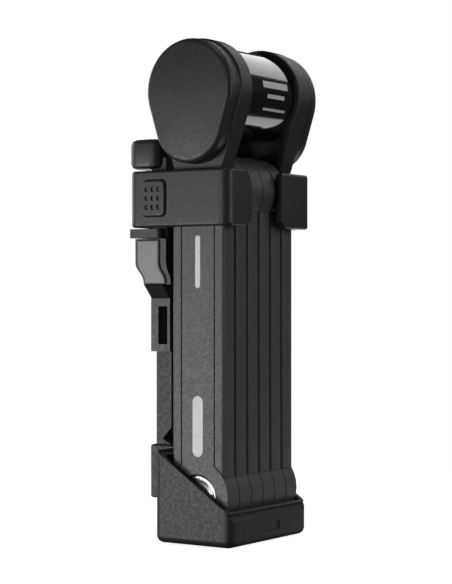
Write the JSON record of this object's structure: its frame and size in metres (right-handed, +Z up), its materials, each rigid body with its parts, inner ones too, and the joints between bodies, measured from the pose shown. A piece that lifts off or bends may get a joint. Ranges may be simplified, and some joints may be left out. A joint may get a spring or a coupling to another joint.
{
  "type": "folding bike lock",
  "caption": "Folding lock: flat links riveted zigzag between two teardrop ends of a round lock barrel, stowed upright in a frame holder with a shoe and an elastic clip.",
  "frame": {"origin": "centre of the flat underside of the shoe, below the axis of the lower rivets", "axes": "+X along the lock barrel towards its key end, +Y towards the bicycle frame, +Z up along the folded links"},
  "size_m": [0.0773, 0.0621, 0.2209],
  "materials": {
    "link_sleeve": "fine-grained moulded jacket, charcoal",
    "link_steel": "black coated steel bars inside the links",
    "head_cap": "satin charcoal, fine grain",
    "barrel_gloss": "glossy black",
    "holder_plastic": "black moulded, fine texture",
    "release_grey": "light grey moulded",
    "rivet_chrome": "polished",
    "lock_steel": "turned steel"
  },
  "bodies": {
    "holder": {"rail": "holder_plastic", "shoe": "holder_plastic", "carrier": "holder_plastic", "saddle": "holder_plastic", "clip_band": "holder_plastic", "shoe_screw_left": "lock_steel", "shoe_screw_right": "lock_steel", "frame_screw_lower": "lock_steel", "frame_screw_upper": "lock_steel"},
    "thumb_button": {"thumb_button": "holder_plastic"},
    "release_slide": {"release_slide": "release_grey"},
    "link_1": {"link_1_jacket": "link_sleeve", "link_1_front_strip": "link_sleeve", "link_1_back_strip": "link_sleeve", "link_1_core": "link_steel", "rivet_1_2": "rivet_chrome", "left_head_plate": "head_cap", "left_end_cap": "head_cap"},
    "link_2": {"link_2_jacket": "link_sleeve", "link_2_front_strip": "link_sleeve", "link_2_back_strip": "link_sleeve", "link_2_core": "link_steel", "rivet_2_3": "rivet_chrome"},
    "link_3": {"link_3_jacket": "link_sleeve", "link_3_front_strip": "link_sleeve", "link_3_back_strip": "link_sleeve", "link_3_core": "link_steel", "rivet_3_4": "rivet_chrome"},
    "link_4": {"link_4_jacket": "link_sleeve", "link_4_front_strip": "link_sleeve", "link_4_back_strip": "link_sleeve", "link_4_core": "link_steel", "rivet_4_5": "rivet_chrome"},
    "link_5": {"link_5_jacket": "link_sleeve", "link_5_front_strip": "link_sleeve", "link_5_back_strip": "link_sleeve", "link_5_core": "link_steel", "rivet_5_6": "rivet_chrome"},
    "link_6": {"link_6_jacket": "link_sleeve", "link_6_front_strip": "link_sleeve", "link_6_back_strip": "link_sleeve", "link_6_core": "link_steel", "right_head_plate": "head_cap", "right_end_cap": "head_cap", "barrel_cover": "barrel_gloss", "lock_core": "lock_steel", "key_cover_pin": "lock_steel"},
    "key_cover": {"key_cover": "head_cap"},
    "key_plug": {"key_plug": "lock_steel"},
    "latch_bolt": {"latch_bolt": "lock_steel"}
  },
  "joints": [
    {"name": "lock_lift", "type": "slide", "parent": "holder", "child": "link_1", "axis": [0, 0, 1], "range_m": [0, 0.58], "deforming": ["clip_band"]},
    {"name": "rivet_1_2_turn", "type": "hinge", "parent": "link_1", "child": "link_2", "pos_m": [0, 0, 0.0213], "axis": [1, 0, 0], "range_deg": [-175, 175]},
    {"name": "rivet_2_3_turn", "type": "hinge", "parent": "link_2", "child": "link_3", "pos_m": [0, 0, 0.155], "axis": [1, 0, 0], "range_deg": [-175, 175]},
    {"name": "rivet_3_4_turn", "type": "hinge", "parent": "link_3", "child": "link_4", "pos_m": [0, 0, 0.0213], "axis": [1, 0, 0], "range_deg": [-175, 175]},
    {"name": "rivet_4_5_turn", "type": "hinge", "parent": "link_4", "child": "link_5", "pos_m": [0, 0, 0.155], "axis": [1, 0, 0], "range_deg": [-175, 175]},
    {"name": "rivet_5_6_turn", "type": "hinge", "parent": "link_5", "child": "link_6", "pos_m": [0, 0, 0.0213], "axis": [1, 0, 0], "range_deg": [-175, 175]},
    {"name": "key_turn", "type": "hinge", "parent": "link_6", "child": "key_plug", "pos_m": [0, 0, 0.198], "axis": [1, 0, 0], "range_deg": [0, 90]},
    {"name": "bolt_travel", "type": "slide", "parent": "link_6", "child": "latch_bolt", "axis": [-1, 0, 0], "range_m": [0, 0.0075]},
    {"name": "key_cover_swing", "type": "hinge", "parent": "link_6", "child": "key_cover", "pos_m": [0, 0, 0.183], "axis": [1, 0, 0], "range_deg": [0, 120]},
    {"name": "thumb_press", "type": "slide", "parent": "holder", "child": "thumb_button", "axis": [1, 0, 0], "range_m": [0, 0.0015], "stiffness_N_per_m": 800},
    {"name": "release_press", "type": "slide", "parent": "holder", "child": "release_slide", "axis": [1, 0, 0], "range_m": [0, 0.002], "stiffness_N_per_m": 800}
  ],
  "couplings": [
    {"joint": "rivet_1_2_turn", "follows": "lock_lift", "rad_per_m": 1.8055},
    {"joint": "rivet_2_3_turn", "follows": "lock_lift", "rad_per_m": -3.611},
    {"joint": "rivet_3_4_turn", "follows": "lock_lift", "rad_per_m": 3.611},
    {"joint": "rivet_4_5_turn", "follows": "lock_lift", "rad_per_m": -3.611},
    {"joint": "rivet_5_6_turn", "follows": "lock_lift", "rad_per_m": 3.611},
    {"joint": "bolt_travel", "follows": "key_turn", "m_per_rad": 0.004456}
  ]
}
